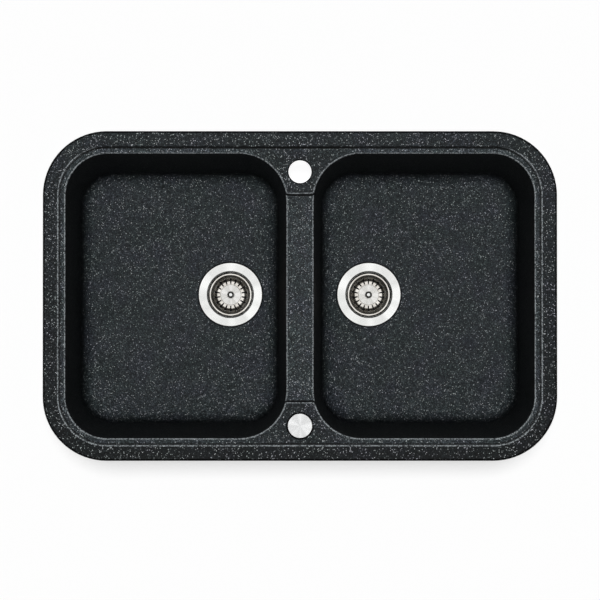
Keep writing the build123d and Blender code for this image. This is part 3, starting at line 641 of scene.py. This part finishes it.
dress(composite, "sink_casting")
dress(brass, "clamp_inserts")
for side in SIDES:
    low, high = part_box(f"strainer_flange_{side}")
    axis = (low + high) / 2
    # Flange and knob are polished bright, the disc is brushed satin, and the basket is pressed
    # from thin sheet.
    polished = spun_steel(
        f"polished_stainless_{side}", axis, ("#E0E1DF", "#F3F4F2"), 0.21, 0.2
    )
    satin = spun_steel(f"satin_stainless_{side}", axis, ("#D9D8D4", "#EDECE9"), 0.25, 0.4)
    pressed = spun_steel(
        f"pressed_stainless_{side}", axis, ("#D2CEC7", "#E5E2DC"), 0.17, 0.15, wall_shade=0.6
    )
    dress(polished, f"strainer_flange_{side}", f"basket_knob_{side}")
    dress(satin, f"basket_disc_{side}")
    dress(pressed, f"basket_cup_{side}")
    dress(turned_stainless, f"waste_screw_{side}", f"basket_stem_{side}")
    dress(brass, f"waste_insert_{side}")
    dress(rubber, f"strainer_top_gasket_{side}", f"strainer_bottom_gasket_{side}")
    dress(rubber, f"basket_seal_{side}")
    dress(polypropylene, f"waste_body_{side}")
low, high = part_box("overflow_cover")
overflow_axis = (low + high) / 2
dress(
    spun_steel("satin_stainless_overflow", overflow_axis, ("#DFE0E0", "#F4F5F5"), 0.235, 0.5),
    "overflow_cover",
    "overflow_grate",
)
dress(turned_stainless, "overflow_screw")
dress(rubber, "overflow_gasket")
dress(polypropylene, "overflow_elbow")
for k in CLAMPS:
    dress(turned_stainless, f"clamp_screw_{k}")
    dress(zinc, f"clamp_claw_{k}")


# --- threads ---

THREAD_STEPS = 24  # to a turn
THREAD_CREST = 0.06  # half the width of its flat top, in pitches
THREAD_FOOT = 0.44  # half the width of its foot, in pitches
TOUCH = 0.05 * MM

# M5 by 0.8 on the clamps' screws, from the washer up to the chamfered end.
CLAMP_THREAD = {
    "low": -59.1 * MM,
    "high": -18.6 * MM,
    "crest": 2.5 * MM,
    "root": 2.05 * MM,
    "pitch": 0.8 * MM,
}
# G 1 1/2 pipe thread on the waste outlets: 11 turns to the inch.
OUTLET_THREAD = {
    "low": -268.2 * MM,
    "high": -243.6 * MM,
    "crest": 23.9 * MM,
    "root": 22.45 * MM,
    "pitch": 2.309 * MM,
}


def cut_thread(name, body, finish, low, high, crest, root, pitch):
    """Turn a CAD piece's plain shaft down to the thread's root and wind the ridge round it."""
    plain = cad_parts[name]
    near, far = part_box(name)
    axis = (near + far) / 2
    build = bmesh.new()
    build.from_mesh(plain.data)
    for vertex in build.verts:
        out = Vector((vertex.co.x - axis.x, vertex.co.y - axis.y, 0))
        if low - TOUCH < vertex.co.z < high + TOUCH and abs(out.length - crest) < TOUCH:
            vertex.co -= out.normalized() * (crest - root)
    turns = (high - low) / pitch - 1
    steps = round(turns * THREAD_STEPS)
    rows = []
    for k in range(steps + 1):
        angle = 2 * math.pi * k / THREAD_STEPS
        middle = low + pitch / 2 + pitch * k / THREAD_STEPS
        # The ridge runs out to nothing in the last half turn at each end.
        growth = min(1.0, 2 * k / THREAD_STEPS, 2 * (steps - k) / THREAD_STEPS)
        peak = root + (crest - root) * growth
        profile = [
            (root - TOUCH, -THREAD_FOOT * pitch),
            (peak, -THREAD_CREST * pitch),
            (peak, THREAD_CREST * pitch),
            (root - TOUCH, THREAD_FOOT * pitch),
        ]
        row = [
            build.verts.new(
                (axis.x + r * math.cos(angle), axis.y + r * math.sin(angle), middle + rise)
            )
            for r, rise in profile
        ]
        rows.append(row)
    for row, following in zip(rows, rows[1:]):
        for k in range(len(row)):
            build.faces.new((row[k], following[k], following[k - 3], row[k - 3]))
    build.faces.new(rows[0])
    build.faces.new(reversed(rows[-1]))
    mesh = bpy.data.meshes.new(f"threaded_{name}")
    build.to_mesh(mesh)
    build.free()
    for material in plain.data.materials:
        mesh.materials.append(material)
    piece = bpy.data.objects.new(f"threaded_{name}", mesh)
    bpy.context.scene.collection.objects.link(piece)
    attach(piece, body)
    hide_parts(name)


for k in CLAMPS:
    cut_thread(f"clamp_screw_{k}", f"screw_{k}", "screw_steel", **CLAMP_THREAD)
for side in SIDES:
    cut_thread(f"waste_body_{side}", "sink", "waste_plastic", **OUTLET_THREAD)


# --- floor ---

FLOOR_RADIUS = 12.0
FLOOR_SEGMENTS = 96
FLOOR_GAP = 0.2 * MM  # below the waste outlets
FLOOR_GREY = "#ACACAC"
FLOOR_ROUGHNESS = 0.9
FLOOR_GLOW = 0.575  # brings the grey up to the photograph's white, and lightens the shadow
HOLE_LIGHT = (0.7 * MM, 203 * MM, 0)  # a painted pool of light on the floor, where light falling through the tap hole lands
HOLE_LIGHT_GLOW = 0.93
HOLE_LIGHT_RADIUS = 24 * MM
HOLE_LIGHT_END = 36 * MM


def white_floor():
    """A wide white floor just under the outlets; its back lets a view from below through."""
    mesh = bpy.data.meshes.new("white_floor")
    build = bmesh.new()
    bmesh.ops.create_circle(
        build, cap_ends=True, segments=FLOOR_SEGMENTS, radius=FLOOR_RADIUS
    )
    build.to_mesh(mesh)
    build.free()
    floor = bpy.data.objects.new("white_floor", mesh)
    floor.location.z = SINK_FOOT - FLOOR_GAP
    bpy.context.scene.collection.objects.link(floor)
    material, tree, shader = new_material("white_studio_floor")
    shader.inputs["Base Color"].default_value = sink_colour(FLOOR_GREY)
    shader.inputs["Roughness"].default_value = FLOOR_ROUGHNESS
    shader.inputs["Specular IOR Level"].default_value = 0.0
    shader.inputs["Emission Color"].default_value = sink_colour("#FFFFFF")
    place = node(tree, "ShaderNodeTexCoord")["Object"]
    # The floor glows brighter in a painted pool of light under the tap hole.
    from_spot = node(
        tree, "ShaderNodeVectorMath", {0: place, 1: HOLE_LIGHT}, operation="DISTANCE"
    )["Value"]
    strength = node(
        tree,
        "ShaderNodeMapRange",
        {
            "Value": from_spot,
            "From Min": HOLE_LIGHT_END,
            "From Max": HOLE_LIGHT_RADIUS,
            "To Min": FLOOR_GLOW,
            "To Max": HOLE_LIGHT_GLOW,
        },
    )[0]
    tree.links.new(strength, shader.inputs["Emission Strength"])
    clear = node(tree, "ShaderNodeBsdfTransparent")
    from_below = node(tree, "ShaderNodeNewGeometry")["Backfacing"]
    either = node(
        tree,
        "ShaderNodeMixShader",
        {0: from_below, 1: shader.outputs["BSDF"], 2: clear["BSDF"]},
    )
    tree.links.new(either["Shader"], tree.nodes["Material Output"].inputs["Surface"])
    mesh.materials.append(material)


white_floor()


# --- lights ---

# The key light stands almost overhead, a little to the back, so walls and risers stay dark
# and the floor shows a short shadow along the front edge only.
KEY_TILT = math.radians(3.6)
KEY_SPREAD = math.radians(10)
KEY_STRENGTH = 3.0
# A white card over the sink, which only the metal reflects.
CARD_PLACE = (0, 0.15, 3.2)
CARD_POWER = 10.0
CARD_WIDTH = 1.9
# Cards that stand round the sink: too low to show in flat faces from above, they brighten
# the metal and give the composite its sheen from the side.
SIDE_CARDS = 4
SIDE_CARD_AWAY = 2.6
SIDE_CARD_HEIGHT = 0.8
SIDE_CARD_AIM = (0, 0, -0.1)
SIDE_CARD_POWER = 9.0
SIDE_CARD_WIDTH = 3.0
SIDE_CARD_TALL = 1.2
ROOM_GLOW = 0.05


def lamp(name, kind, energy, place, aim, **settings):
    """A studio light that points at a spot."""
    data = bpy.data.lights.new(name, kind)
    data.energy = energy
    for setting, value in settings.items():
        setattr(data, setting, value)
    light = bpy.data.objects.new(name, data)
    light.location = place
    light.rotation_euler = (Vector(aim) - Vector(place)).to_track_quat("-Z", "Y").to_euler()
    bpy.context.scene.collection.objects.link(light)
    return light


key = lamp(
    "overhead_key",
    "SUN",
    KEY_STRENGTH,
    (0, math.sin(KEY_TILT), math.cos(KEY_TILT)),
    (0, 0, 0),
    angle=KEY_SPREAD,
)
key.visible_glossy = False
card = lamp(
    "overhead_card", "AREA", CARD_POWER, CARD_PLACE, (0, 0, 0), shape="DISK", size=CARD_WIDTH
)
card.visible_diffuse = False
for index in range(SIDE_CARDS):
    turn = 2 * math.pi / SIDE_CARDS * index
    screen = lamp(
        f"side_card_{index + 1}",
        "AREA",
        SIDE_CARD_POWER,
        (SIDE_CARD_AWAY * math.cos(turn), SIDE_CARD_AWAY * math.sin(turn), SIDE_CARD_HEIGHT),
        SIDE_CARD_AIM,
        shape="RECTANGLE",
        size=SIDE_CARD_WIDTH,
        size_y=SIDE_CARD_TALL,
    )
    screen.visible_diffuse = False
    screen.visible_camera = False

# The room gives a faint glow, and the camera sees white paper past the floor's end.
world = bpy.data.worlds.new("studio")
bpy.context.scene.world = world
world.use_nodes = True
room = world.node_tree
background = room.nodes["Background"]
background.inputs["Color"].default_value = sink_colour("#FFFFFF")
background.inputs["Strength"].default_value = ROOM_GLOW
paper = node(room, "ShaderNodeBackground", {"Color": sink_colour("#FDFEFE"), "Strength": 1.0})
seen = node(room, "ShaderNodeLightPath")["Is Camera Ray"]
both = node(
    room,
    "ShaderNodeMixShader",
    {0: seen, 1: background.outputs["Background"], 2: paper["Background"]},
)
room.links.new(both["Shader"], room.nodes["World Output"].inputs["Surface"])

bpy.context.scene.view_settings.view_transform = "Standard"


# --- camera: the photograph is 600 pixels square, 1.515 mm to a pixel at the rim ---

PIXEL = 1.515 * MM
PICTURE = 600
CAMERA_HEIGHT = 5.0
CAMERA_X = -13.6 * MM
CAMERA_Y = -76.0 * MM
AIM_Y = -6.3 * MM
CAMERA_REACH = 60.0

camera_data = bpy.data.cameras.new("camera")
camera = bpy.data.objects.new("camera", camera_data)
camera.location = (CAMERA_X, CAMERA_Y, RIM_TOP + CAMERA_HEIGHT)
# Level with the sink: the picture's upright runs along +Y.
backward = (camera.location - Vector((0, AIM_Y, RIM_TOP))).normalized()
rightward = Vector((0, 1, 0)).cross(backward).normalized()
upward = backward.cross(rightward)
camera.rotation_euler = Matrix((rightward, upward, backward)).transposed().to_euler()
camera_data.lens = camera_data.sensor_width * CAMERA_HEIGHT / (PICTURE * PIXEL)
camera_data.clip_end = CAMERA_REACH
bpy.context.scene.collection.objects.link(camera)
bpy.context.scene.camera = camera
